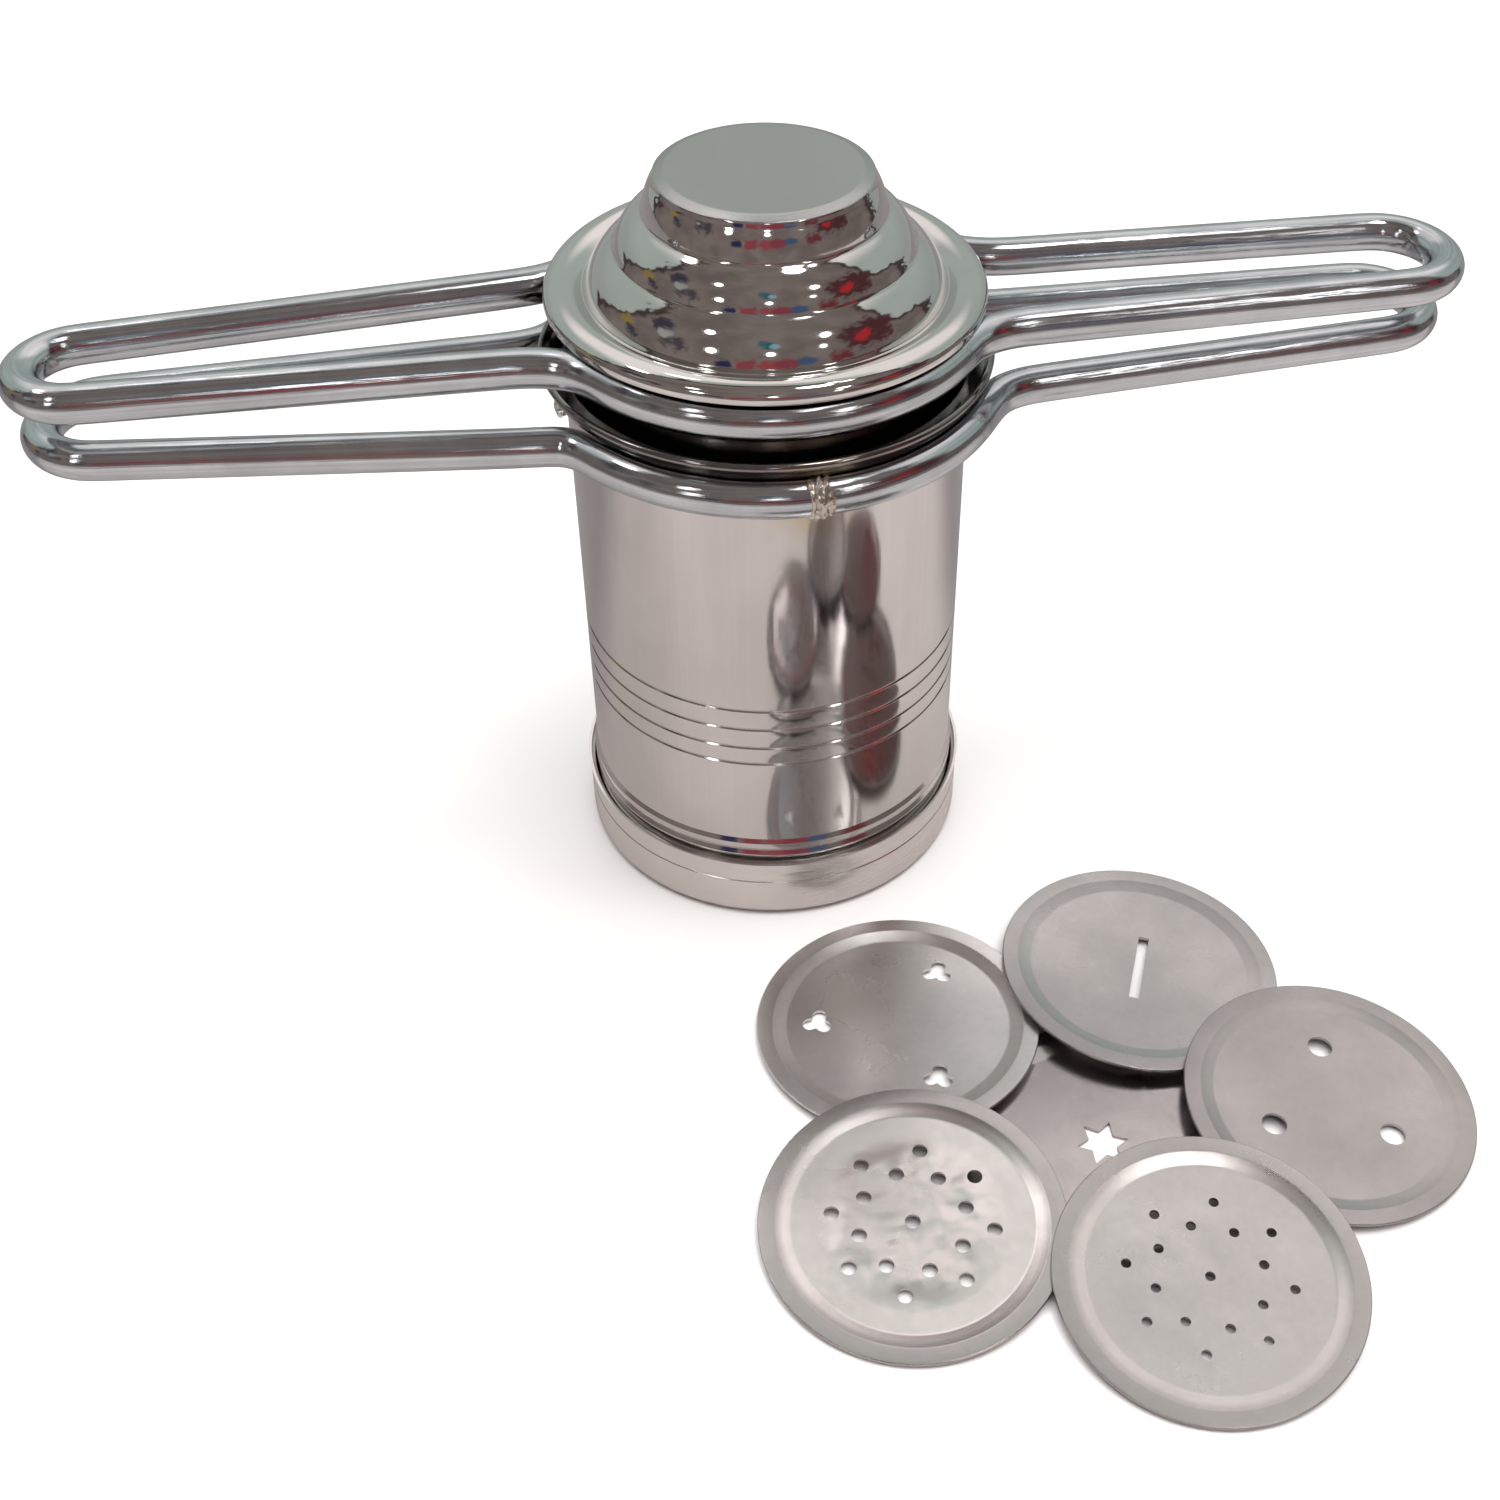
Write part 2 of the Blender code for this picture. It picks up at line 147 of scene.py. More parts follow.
class Nodes:
    """Small wrapper that keeps shader building short."""

    def __init__(self, tree):
        self.tree = tree
        self.at = 0

    def add(self, kind, **settings):
        node = self.tree.nodes.new(kind)
        node.location = (self.at % 8 * 220, -(self.at // 8) * 260)
        self.at += 1
        for key, value in settings.items():
            setattr(node, key, value)
        return node

    def link(self, a, b):
        self.tree.links.new(a, b)

    def put(self, socket, value):
        """Feeds a socket from another socket or from a plain value."""
        if isinstance(value, bpy.types.NodeSocket):
            self.link(value, socket)
        else:
            socket.default_value = value

    def math(self, operation, a, b=0.0):
        node = self.add("ShaderNodeMath", operation=operation)
        self.put(node.inputs[0], a)
        self.put(node.inputs[1], b)
        return node.outputs[0]

    def blend(self, a, share_a, b, share_b):
        """Weighted sum of two values."""
        return self.math("ADD", self.math("MULTIPLY", a, share_a), self.math("MULTIPLY", b, share_b))

    def mapping(self, vector, scale=(1, 1, 1), location=(0, 0, 0), rotation=(0, 0, 0)):
        node = self.add("ShaderNodeMapping")
        self.put(node.inputs["Vector"], vector)
        node.inputs["Scale"].default_value = scale
        node.inputs["Location"].default_value = location
        node.inputs["Rotation"].default_value = rotation
        return node.outputs[0]

    def noise(self, vector, scale, detail=3.0, rough=0.5, distortion=0.0):
        node = self.add("ShaderNodeTexNoise")
        self.put(node.inputs["Vector"], vector)
        node.inputs["Scale"].default_value = scale
        node.inputs["Detail"].default_value = detail
        node.inputs["Roughness"].default_value = rough
        node.inputs["Distortion"].default_value = distortion
        return node.outputs["Fac"]

    def span(self, value, lo, hi, to_lo, to_hi, smooth=False):
        """The value's range lo to hi stretched to to_lo to to_hi, clamped at both ends."""
        node = self.add("ShaderNodeMapRange")
        node.clamp = True
        if smooth:
            node.interpolation_type = "SMOOTHSTEP"
        self.put(node.inputs[0], value)
        for i, v in enumerate((lo, hi, to_lo, to_hi), 1):
            node.inputs[i].default_value = v
        return node.outputs[0]

    def mix(self, factor, a, b):
        """Colour a where the factor is 0, colour b where it is 1."""
        node = self.add("ShaderNodeMix", data_type="RGBA")
        self.put(node.inputs[0], factor)
        for socket, value in ((node.inputs[6], a), (node.inputs[7], b)):
            if isinstance(value, bpy.types.NodeSocket):
                self.link(value, socket)
            else:
                socket.default_value = (*value, 1.0)
        return node.outputs[2]

    def bump(self, height, strength, distance, normal=None):
        node = self.add("ShaderNodeBump")
        node.inputs["Strength"].default_value = strength
        node.inputs["Distance"].default_value = distance
        self.put(node.inputs["Height"], height)
        if normal is not None:
            self.link(normal, node.inputs["Normal"])
        return node.outputs[0]


def new_metal(name, rough):
    """Bare steel; gives the material, its nodes, its shader and the coordinates in metres."""
    material = bpy.data.materials.new(name)
    material.use_nodes = True
    nodes = Nodes(material.node_tree)
    shader = material.node_tree.nodes["Principled BSDF"]
    shader.inputs["Metallic"].default_value = 1.0
    shader.inputs["Roughness"].default_value = rough
    shader.inputs["Base Color"].default_value = (0.65, 0.64, 0.63, 1.0)
    coords = nodes.add("ShaderNodeTexCoord").outputs["Object"]
    return material, nodes, shader, coords


def distance(n, xyz, point):
    """Distance in metres from a fixed point."""
    node = n.add("ShaderNodeVectorMath", operation="DISTANCE")
    n.link(xyz, node.inputs[0])
    node.inputs[1].default_value = point
    return node.outputs["Value"]


def heat_tint(n, xyz, color):
    """Straw and brown stain that a weld leaves on the steel round it."""
    weld = spot(LOWER_RING_R - 2.0, LOWER_WELD_DEG) * MM + AXIS + upright(LOWER_Z - 2.0)
    ragged = n.math("ADD", distance(n, xyz, weld), n.math("MULTIPLY", n.noise(xyz, 260.0, 3.0, 0.6), 0.009))
    near = n.span(ragged, 0.007, 0.017, 0.75, 0.0, True)
    return n.mix(near, color, (0.62, 0.52, 0.33))


def polished(name, light, dark, rough_lo, rough_hi, wave=0.0, scratch=0.0, tinted=False):
    """Mirror-bright steel with handling smudges, a slow waviness and hairline scratches."""
    material, n, shader, xyz = new_metal(name, rough_lo)
    smudge = n.noise(xyz, 38.0, 4.0, 0.6, 0.4)
    fine = n.noise(xyz, 420.0, 2.0, 0.6)
    color = n.mix(n.span(smudge, 0.35, 0.68, 0.0, 1.0), light, dark)
    n.link(heat_tint(n, xyz, color) if tinted else color, shader.inputs["Base Color"])
    both = n.blend(smudge, 0.75, fine, 0.25)
    n.link(n.span(both, 0.32, 0.68, rough_lo, rough_hi), shader.inputs["Roughness"])
    normal = None
    if wave:
        normal = n.bump(n.noise(xyz, 55.0, 1.0, 0.4), wave, 0.001)
    if scratch:
        lines = n.noise(n.mapping(xyz, (60.0, 900.0, 900.0), rotation=(0.3, 0.5, 0.9)), 1.0, 2.0, 0.7)
        normal = n.bump(lines, scratch, 0.0002, normal)
    if normal is not None:
        n.link(normal, shader.inputs["Normal"])
    return material


def drawn_rod(name):
    """Polished drawn wire: long streaks along the rod, read from the sweep's own coordinates."""
    material, n, shader, xyz = new_metal(name, 0.12)
    sweep = n.add("ShaderNodeAttribute", attribute_name="sweep").outputs["Vector"]
    streak = n.noise(n.mapping(sweep, (5.5, 5.5, 9.0)), 1.0, 4.0, 0.72)
    hair = n.noise(n.mapping(sweep, (26.0, 26.0, 22.0)), 1.0, 2.0, 0.7)
    smudge = n.noise(xyz, 60.0, 4.0, 0.6, 0.5)
    tone = n.blend(streak, 0.6, smudge, 0.4)
    color = n.mix(n.span(tone, 0.38, 0.62, 0.0, 1.0), (0.69, 0.725, 0.745), (0.45, 0.478, 0.50))
    n.link(color, shader.inputs["Base Color"])
    wear = n.blend(hair, 0.5, smudge, 0.5)
    n.link(n.span(wear, 0.35, 0.65, 0.05, 0.12), shader.inputs["Roughness"])
    normal = n.bump(streak, 0.16, 0.00025)
    normal = n.bump(hair, 0.08, 0.0001, normal)
    n.link(normal, shader.inputs["Normal"])
    return material


def turned_steel(name, light, dark, rough_lo, rough_hi, grain, vertical, tinted=False):
    """Steel with a fine grain: up and down the wall (vertical) or round the axis (turned)."""
    material, n, shader, xyz = new_metal(name, rough_lo)
    here = n.mapping(xyz, location=(-AXIS.x, -AXIS.y, 0.0))
    parts = n.add("ShaderNodeSeparateXYZ")
    n.link(here, parts.inputs[0])
    if vertical:
        line = n.mapping(here, (900.0, 900.0, 9.0))
    else:
        x, y = parts.outputs[0], parts.outputs[1]
        squares = n.math("ADD", n.math("POWER", x, 2.0), n.math("POWER", y, 2.0))
        lines_per_metre = 3600.0
        join = n.add("ShaderNodeCombineXYZ")
        n.link(n.math("MULTIPLY", n.math("SQRT", squares), lines_per_metre), join.inputs[0])
        n.link(n.math("MULTIPLY", parts.outputs[2], lines_per_metre), join.inputs[1])
        line = join.outputs[0]
    grain_fac = n.noise(line, 1.0, 3.0, 0.65)
    smudge = n.noise(here, 34.0, 4.0, 0.6, 0.5)
    patch = n.noise(n.mapping(here, (1.0, 1.0, 0.35)), 22.0, 3.0, 0.5)
    tone = n.blend(grain_fac, 0.3, smudge, 0.7)
    color = n.mix(n.span(tone, 0.35, 0.66, 0.0, 1.0), light, dark)
    n.link(heat_tint(n, xyz, color) if tinted else color, shader.inputs["Base Color"])
    wear = n.blend(grain_fac, 0.4, patch, 0.6)
    n.link(n.span(wear, 0.34, 0.66, rough_lo, rough_hi), shader.inputs["Roughness"])
    normal = n.bump(smudge, 0.08, 0.0006)
    n.link(n.bump(grain_fac, grain, 0.0001, normal), shader.inputs["Normal"])
    return material


def die_steel(name, centre, height, tone_up, cool, rim, rough_lo, rough_hi, wave, dents, seed):
    """Matte pressed sheet: faint turned lines, stains, a soft waviness and dents round the holes."""
    material, n, shader, xyz = new_metal(name, rough_lo)
    middle = (AXIS.x + centre[0] * MM, AXIS.y + centre[1] * MM, height * MM)
    out_from = distance(n, xyz, middle)
    here = n.mapping(xyz, location=(seed, seed * 0.7, 0.0))
    cloud = n.noise(here, 40.0, 4.0, 0.58)
    speck = n.noise(here, 700.0, 2.0, 0.6)
    tone = n.blend(cloud, 0.8, speck, 0.2)
    light = Vector((0.70, 0.665 + cool, 0.655 + cool)) * tone_up
    dark = light * 0.83
    color = n.mix(n.span(tone, 0.36, 0.66, 0.0, 1.0), light, dark)
    edge = n.mix(n.span(tone, 0.36, 0.66, 0.0, 1.0), light * rim, dark * rim)
    on_rim = n.span(out_from, 0.0212, 0.0226, 0.0, 1.0, True)
    n.link(n.mix(on_rim, color, edge), shader.inputs["Base Color"])
    n.link(n.span(cloud, 0.33, 0.67, rough_lo, rough_hi), shader.inputs["Roughness"])
    ring = n.add("ShaderNodeCombineXYZ")
    n.link(n.math("MULTIPLY", out_from, 2200.0), ring.inputs[0])
    ring.inputs[1].default_value = seed * 50.0
    normal = n.bump(n.noise(here, 45.0, 1.0, 0.4), wave, 0.001)
    if dents:
        inside = n.span(out_from, 0.010, 0.0165, 1.0, 0.0, True)
        pits = n.math("MULTIPLY", n.noise(here, 190.0, 1.0, 0.4), inside)
        normal = n.bump(pits, dents, 0.0012, normal)
    normal = n.bump(n.noise(ring.outputs[0], 1.0, 2.0, 0.6), 0.03, 0.0001, normal)
    n.link(normal, shader.inputs["Normal"])
    return material


def weld_steel(name):
    """Rough weld metal with a straw to brown heat tint."""
    material, n, shader, xyz = new_metal(name, 0.3)
    lump = n.noise(xyz, 520.0, 4.0, 0.6, 0.5)
    tint = n.noise(xyz, 300.0, 2.0, 0.5)
    warm = n.mix(n.span(tint, 0.42, 0.62, 0.0, 1.0), (0.82, 0.81, 0.79), (0.60, 0.54, 0.45))
    n.link(warm, shader.inputs["Base Color"])
    n.link(n.span(lump, 0.3, 0.7, 0.08, 0.22), shader.inputs["Roughness"])
    n.link(n.bump(lump, 0.6, 0.0005), shader.inputs["Normal"])
    return material


MIRROR = polished("mirror_steel", (0.74, 0.73, 0.71), (0.66, 0.65, 0.63), 0.03, 0.08,
                  wave=0.12, scratch=0.02)
ROD = drawn_rod("rod_steel")
BARREL = turned_steel("barrel_steel", (0.72, 0.695, 0.685), (0.64, 0.615, 0.605), 0.055, 0.12, 0.07,
                      vertical=True, tinted=True)
# The flange's steel has a dark colour: painted shade and painted reflection of the dark underside of the
# plunger above it.
SHADED_FLANGE = polished("flange_painted_shade_steel", (0.31, 0.295, 0.28), (0.21, 0.20, 0.205), 0.06, 0.13,
                  wave=0.08, scratch=0.03, tinted=True)
CAP = turned_steel("cap_steel", (0.95, 0.92, 0.90), (0.82, 0.79, 0.77), 0.18, 0.30, 0.07, vertical=False)
TOP = turned_steel("top_disc_steel", (0.52, 0.53, 0.52), (0.48, 0.49, 0.48), 0.26, 0.34, 0.03,
                   vertical=False)
TUBE = turned_steel("plunger_tube_steel", (0.64, 0.63, 0.62), (0.55, 0.54, 0.53), 0.14, 0.24, 0.12,
                    vertical=True)
WELD = weld_steel("weld_metal")


# ---------------------------------------------------------------- geometry helpers

def filleted(corners, detail=6):
    """Polyline through (r, z, fillet) corners in mm, each corner rounded with its fillet radius."""
    points = []
    count = len(corners)
    for i, (r, z, radius) in enumerate(corners):
        here = Vector((r, z))
        if i == 0 or i == count - 1 or radius <= 0.0:
            points.append(here)
            continue
        back = Vector(corners[i - 1][:2]) - here
        ahead = Vector(corners[i + 1][:2]) - here
        angle = back.angle(ahead)
        reach = min(radius / math.tan(angle / 2.0), back.length * 0.49, ahead.length * 0.49)
        true_radius = reach * math.tan(angle / 2.0)
        bisector = (back.normalized() + ahead.normalized()).normalized()
        centre = here + bisector * math.hypot(reach, true_radius)
        first = here + back.normalized() * reach - centre
        last = here + ahead.normalized() * reach - centre
        turn = first.angle_signed(last)
        steps = max(2, int(abs(math.degrees(turn)) / 90.0 * detail) + 1)
        for k in range(steps + 1):
            t = -turn * k / steps
            points.append(centre + Vector((first.x * math.cos(t) - first.y * math.sin(t),
                                           first.x * math.sin(t) + first.y * math.cos(t))))
    return points


def smooth_piece(name, mesh, *materials):
    """Object of a mesh with smooth faces and the given materials."""
    for face in mesh.polygons:
        face.use_smooth = True
    for material in materials:
        mesh.materials.append(material)
    return placed(name, mesh)


def lathe(name, points, segments, closed, materials, pick=None):
    """Turned body round the Z axis from (r, z) points in mm, outer side first. A closed line joins its last
    point to its first. Pick, if given, tells from the middle of a band which material the band has."""
    mesh = bpy.data.meshes.new(name)
    verts, faces, groups = [], [], []
    rings = []
    on_axis = 1e-6
    for p in points:
        if p.x < on_axis:
            verts.append((0.0, 0.0, p.y * MM))
            rings.append([len(verts) - 1] * segments)
        else:
            first = len(verts)
            for s in range(segments):
                a = 2.0 * math.pi * s / segments
                verts.append((p.x * MM * math.cos(a), p.x * MM * math.sin(a), p.y * MM))
            rings.append(list(range(first, first + segments)))
    count = len(points)
    for i in range(count if closed else count - 1):
        a, b = rings[i], rings[(i + 1) % count]
        middle = (points[i] + points[(i + 1) % count]) / 2.0
        index = pick(middle) if pick else 0
        for s in range(segments):
            t = (s + 1) % segments
            quad = [a[s], b[s], b[t], a[t]]
            face = []
            for v in quad:
                if v not in face:
                    face.append(v)
            if len(face) > 2:
                faces.append(face)
                groups.append(index)
    mesh.from_pydata(verts, [], faces)
    mesh.update()
    for face, index in zip(mesh.polygons, groups):
        face.material_index = index
    obj = smooth_piece(name, mesh, *materials)
    mesh.set_sharp_from_angle(angle=math.radians(40.0))
    return obj


def stand(obj, body, slot, *nodes):
    """Ties a piece to its body, in place of the named solids. The slot it is given is not used."""
    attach(obj, body)
    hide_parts(*nodes)


def shift_mesh(obj, matrix):
    """Moves the points of a piece and leaves its own place at the origin."""
    obj.data.transform(matrix)
    obj.data.update()


def rolled_edge(centre_r, centre_z, radius, start, stop, steps):
    """Corners along an arc from start to stop degrees, without fillets of their own."""
    corners = []
    for i in range(steps + 1):
        a = math.radians(start + (stop - start) * i / steps)
        corners.append((centre_r + radius * math.cos(a), centre_z + radius * math.sin(a), 0.0))
    return corners


def bulge(top, foot, first, last, count):
    """Convex arc between two (radius, height) points; its slope runs from first to last degrees."""
    s0, s1 = math.radians(first), math.radians(last)
    across, down = math.sin(s1) - math.sin(s0), math.cos(s0) - math.cos(s1)
    out = []
    for i in range(count + 1):
        t = s0 + (s1 - s0) * i / count
        out.append(Vector((top[0] + (foot[0] - top[0]) * (math.sin(t) - math.sin(s0)) / across,
                           top[1] + (foot[1] - top[1]) * (math.cos(s0) - math.cos(t)) / down)))
    return out


def eased(points, spacing, passes):
    """The same line with evenly spaced points and its corners softened; the two ends stay put."""
    even = [points[0]]
    for a, b in zip(points, points[1:]):
        count = max(1, round((b - a).length / spacing))
        even.extend(a.lerp(b, i / count) for i in range(1, count + 1))
    for _ in range(passes):
        softer = [even[i] * 0.5 + (even[i - 1] + even[i + 1]) * 0.25 for i in range(1, len(even) - 1)]
        even = [even[0], *softer, even[-1]]
    return even


# ---------------------------------------------------------------- plunger

def dome():
    """Palm disc with a rounded bevel, three convex tiers with creases between them, and a round brim."""
    top_r, top_z = DOME_WALL_TOP
    bevel = [(15.2, DOME_TOP_Z, 0.0), (16.3, DOME_TOP_Z, 0.8), (18.05, 134.4, 0.5), (top_r, top_z, 0.0)]
    outer = filleted(bevel, 16)
    outer.extend(bulge(DOME_WALL_TOP, CREASES[0], 45.0, 76.0, 20)[1:])
    outer.extend(bulge(CREASES[0], CREASES[1], 26.0, 70.0, 24)[1:])
    outer.extend(bulge(CREASES[1], CREASES[2], 30.0, 71.0, 24)[1:])
    brim_r, brim_z = BRIM_CENTRE
    for i in range(31):
        angle = math.radians(132.0 - 150.0 * i / 30)
        outer.append(Vector((brim_r + BRIM_HALF_WIDTH * math.cos(angle),
                             brim_z + BRIM_HALF_HEIGHT * math.sin(angle))))
    outer.append(Vector((36.5, 113.6)))
    outer = [Vector((0.0, DOME_TOP_Z))] + eased(outer, 0.14, 7)
    inner = [Vector(p) for p in ((36.2, 114.4), (36.0, 115.4), (34.8, 115.8), (32.6, 114.95), (29.8, 114.2),
                                 (28.0, 118.2), (24.5, 121.6), (22.6, 125.0), (19.4, 127.7), (18.2, 131.0),
                                 (16.9, 133.5), (15.6, 134.2), (0.0, 134.2))]

    def satin_disc(p):
        return 1 if p.y > 134.3 and p.x < 18.0 else 0

    obj = lathe("dome", outer + inner, 256, False, [MIRROR, TOP], satin_disc)
    shift_mesh(obj, ON_AXIS)
    stand(obj, "plunger", "polished", "dome_cap")


def plunger_tube():
    points = [
        (TUBE_R, TUBE_TOP_Z),
        (TUBE_R, TUBE_LOW_Z),
        (TUBE_BORE_R, TUBE_LOW_Z),
        (TUBE_BORE_R, TUBE_TOP_Z),
    ]
    obj = lathe("plunger_tube", [Vector(p) for p in points], 192, True, [TUBE])
    shift_mesh(obj, ON_AXIS)
    stand(obj, "plunger", "satin", "piston_tube")


def piston():
    points = [
        (0.0, PISTON_FLOOR_Z, 0.0),
        (PISTON_CUP_R, PISTON_FLOOR_Z, 0.6),
        (PISTON_CUP_R, PISTON_TOP_Z, 0.2),
        (PISTON_R, PISTON_TOP_Z, 0.3),
        (PISTON_R, PISTON_LOW_Z, 0.9),
        (0.0, PISTON_LOW_Z, 0.0),
    ]
    obj = lathe("piston", filleted(points), 192, False, [TUBE])
    shift_mesh(obj, ON_AXIS)
    stand(obj, "plunger", "satin", "piston_face")


# ---------------------------------------------------------------- barrel and cap

def barrel():
    """Thin tube with a rolled flange on top, four fine grooves and rounded thread beads near the foot."""
    corners = rolled_edge(FLANGE_LIP_R, FLANGE_LIP_Z, 0.8, 100.0, -60.0, 8)
    corners.extend([
        (FLANGE_LIP_R, 101.05, 0.6),
        (36.2, 100.95, 0.6),
        (34.95, 100.4, 1.2),
        (BARREL_R, 98.0, 0.4),
    ])
    for z in GROOVE_Z:
        corners.extend([(BARREL_R, z + 0.36, 0.15), (GROOVE_R, z, 0.2), (BARREL_R, z - 0.36, 0.15)])
    for z in THREAD_Z:
        corners.extend([(34.82, z + 1.38, 0.1), (35.38, z + 0.5, 0.35), (35.34, z - 0.7, 0.5)])
    corners.extend([
        (BARREL_R, BARREL_FOOT_Z, 0.3),
        (BARREL_BORE_R, BARREL_FOOT_Z, 0.3),
        (BARREL_BORE_R, 100.2, 0.8),
        (BARREL_R, 101.7, 0.8),
        (37.3, 102.3, 0.5),
    ])

    def flange(p):
        return 1 if p.y > FLANGE_LOW_Z else 0

    # The flange band takes the steel with painted shade.
    obj = lathe("barrel_wall", filleted(corners, 8), 256, True, [BARREL, SHADED_FLANGE], flange)
    shift_mesh(obj, ON_AXIS)
    stand(obj, "barrel_body", "polished", "barrel")


def base_cap():
    """Screw cap: flared lip, fine groove, rounded foot, round mouth and a low ring that seats a die."""
    corners = [
        (36.9, CAP_TOP_Z, 0.25),
        (CAP_R, 11.3, 2.0),
        (CAP_R, CAP_GROOVE_Z + 0.25, 0.1),
        (CAP_GROOVE_R, CAP_GROOVE_Z, 0.15),
        (CAP_R, CAP_GROOVE_Z - 0.25, 0.1),
        (CAP_R, 0.0, 2.0),
        (CAP_MOUTH_R, 0.0, 0.3),
        (CAP_MOUTH_R, CAP_FLOOR_Z, 0.3),
        (26.0, CAP_FLOOR_Z, 0.2),
        (26.1, CAP_SEAT_Z, 0.2),
        (27.1, CAP_SEAT_Z, 0.2),
        (27.2, CAP_FLOOR_Z, 0.2),
        (34.6, CAP_FLOOR_Z, 0.8),
        (CAP_BORE_R, 2.4, 0.6),
        (CAP_BORE_R, 12.4, 0.4),
        (36.3, CAP_TOP_Z, 0.2),
    ]
    line = filleted(corners + [corners[0]], 10)[1:]
    obj = lathe("screw_cap", line, 256, True, [CAP])
    shift_mesh(obj, ON_AXIS)
    stand(obj, "screw_cap", "satin", "base_cap")


# ---------------------------------------------------------------- rod handles

def bezier(a, b, c, d, count):
    """Points between the ends of a cubic curve, without the two ends."""
    out = []
    for i in range(1, count):
        t = i / count
        s = 1.0 - t
        out.append(a * s ** 3 + b * 3 * s * s * t + c * 3 * s * t * t + d * t ** 3)
    return out


def side_loop(side, radius, legs):
    """Centre line of one loop, in mm from the press axis: out of the ring, along one leg, round the tip and
    back. Side is 1 on the right and -1 on the left; the legs come in the order they are run through."""
    (root_a, tip_a), (root_b, tip_b) = legs
    tip_radius = abs(tip_b - tip_a) / 2.0
    centre = Vector((side * (TIP_X - ROD_R - tip_radius), (tip_a + tip_b) / 2.0, 0.0))
    outward = 0.0 if side > 0 else 180.0
    start = spot(radius, outward - JOIN_DEG)
    end = spot(radius, outward + JOIN_DEG)
    root_one, root_two = Vector((side * ROOT_X, root_a, 0.0)), Vector((side * ROOT_X, root_b, 0.0))
    tip_one, tip_two = Vector((centre.x, tip_a, 0.0)), Vector((centre.x, tip_b, 0.0))
    out_way = (tip_one - root_one).normalized()
    back_way = (root_two - tip_two).normalized()
    leave = Vector((-start.y, start.x, 0.0)).normalized()
    arrive = Vector((-end.y, end.x, 0.0)).normalized()
    ring_pull, leg_pull = 8.0, 9.0
    path = [start]
    path.extend(bezier(start, start + leave * ring_pull, root_one - out_way * leg_pull, root_one, 18))
    path.extend(root_one.lerp(tip_one, i / 24.0) for i in range(25))
    path.extend(centre + spot(tip_radius, outward - 90.0 + 6.0 * i) for i in range(1, 30))
    path.extend(tip_two.lerp(root_two, i / 24.0) for i in range(25))
    path.extend(bezier(root_two, root_two + back_way * leg_pull, end - arrive * ring_pull, end, 18))
    path.append(end)
    return path


def ring_arc(radius, first):
    """Part of the ring between two loops, from the end of one join to the start of the next."""
    step = 3.0
    count = int((180.0 - 2.0 * JOIN_DEG) / step)
    return [spot(radius, first + JOIN_DEG + step * i) for i in range(1, count)]


def handle(name, radius, height, legs, body, node):
    """Closed rod swept along the ring and both loops; every point keeps its place on the sweep."""
    left_front, left_back, right_front, right_back = legs
    path = side_loop(1, radius, (right_front, right_back))
    path.extend(ring_arc(radius, 0.0))
    path.extend(side_loop(-1, radius, (left_back, left_front)))
    path.extend(ring_arc(radius, 180.0))
    count = len(path)
    smoothing_passes = 4
    for _ in range(smoothing_passes):
        path = [path[i] * 0.5 + (path[i - 1] + path[(i + 1) % count]) * 0.25 for i in range(count)]
    around = 40
    mesh = bpy.data.meshes.new(name)
    verts, sweep, faces = [], [], []
    travelled = 0.0
    for i, p in enumerate(path):
        travelled += (p - path[i - 1]).length if i else 0.0
        ahead = (path[(i + 1) % count] - path[i - 1]).normalized()
        side = Vector((ahead.y, -ahead.x, 0.0))
        for k in range(around):
            t = 2.0 * math.pi * k / around
            at_skin = p + side * (ROD_R * math.cos(t)) + Vector((0.0, 0.0, height + ROD_R * math.sin(t)))
            verts.append(at_skin * MM + AXIS)
            sweep.append((math.cos(t), math.sin(t), travelled * MM))
    for i in range(count):
        a, b = i * around, (i + 1) % count * around
        for k in range(around):
            j = (k + 1) % around
            faces.append((a + k, b + k, b + j, a + j))
    mesh.from_pydata(verts, [], faces)
    mesh.update()
    values = mesh.attributes.new("sweep", "FLOAT_VECTOR", "POINT")
    for item, value in zip(values.data, sweep):
        item.vector = value
    stand(smooth_piece(name, mesh, ROD), body, "rod", node)


def bead_object(name, bead, radius, degrees, height):
    """Weld bead made round the origin and turned to its place on a ring."""
    mesh = bpy.data.meshes.new(name)
    bead.to_mesh(mesh)
    bead.free()
    place = spot(radius, degrees) * MM + AXIS + upright(height)
    mesh.transform(Matrix.Translation(place) @ Matrix.Rotation(math.radians(degrees), 4, "Z"))
    return smooth_piece(name, mesh, WELD)


def weld_bead(name, radius, degrees, height, body, node):
    """Uneven bead round the rod where its ends were joined."""
    bead = bmesh.new()
    around, along = 48, 20
    rows = []
    for j in range(along + 1):
        t = j / along * 2.0 - 1.0
        row = []
        for i in range(around):
            a = 2.0 * math.pi * i / around
            fade = max(0.0, 1.0 - t * t)
            lump = noise.noise(Vector((math.cos(a) * 2.9, math.sin(a) * 2.9, t * 2.4 + 5.0)))
            swell = fade * (0.55 + 0.45 * math.cos(t * 7.0))
            r = ROD_R - 0.1 + 0.55 * swell + 0.7 * lump * math.sqrt(fade)
            wander = 0.6 * noise.noise(Vector((math.cos(a) * 1.5, math.sin(a) * 1.5, 9.0)))
            y = 1.9 * t + wander
            row.append(bead.verts.new((r * math.cos(a) * MM, y * MM, r * math.sin(a) * MM)))
        rows.append(row)
    for a, b in zip(rows, rows[1:]):
        for i in range(around):
            j = (i + 1) % around
            bead.faces.new((a[i], a[j], b[j], b[i]))
    bead.faces.new(list(reversed(rows[0])))
    bead.faces.new(rows[-1])
    bmesh.ops.recalc_face_normals(bead, faces=bead.faces)
    stand(bead_object(name, bead, radius + 0.1, degrees, height), body, "weld", node)


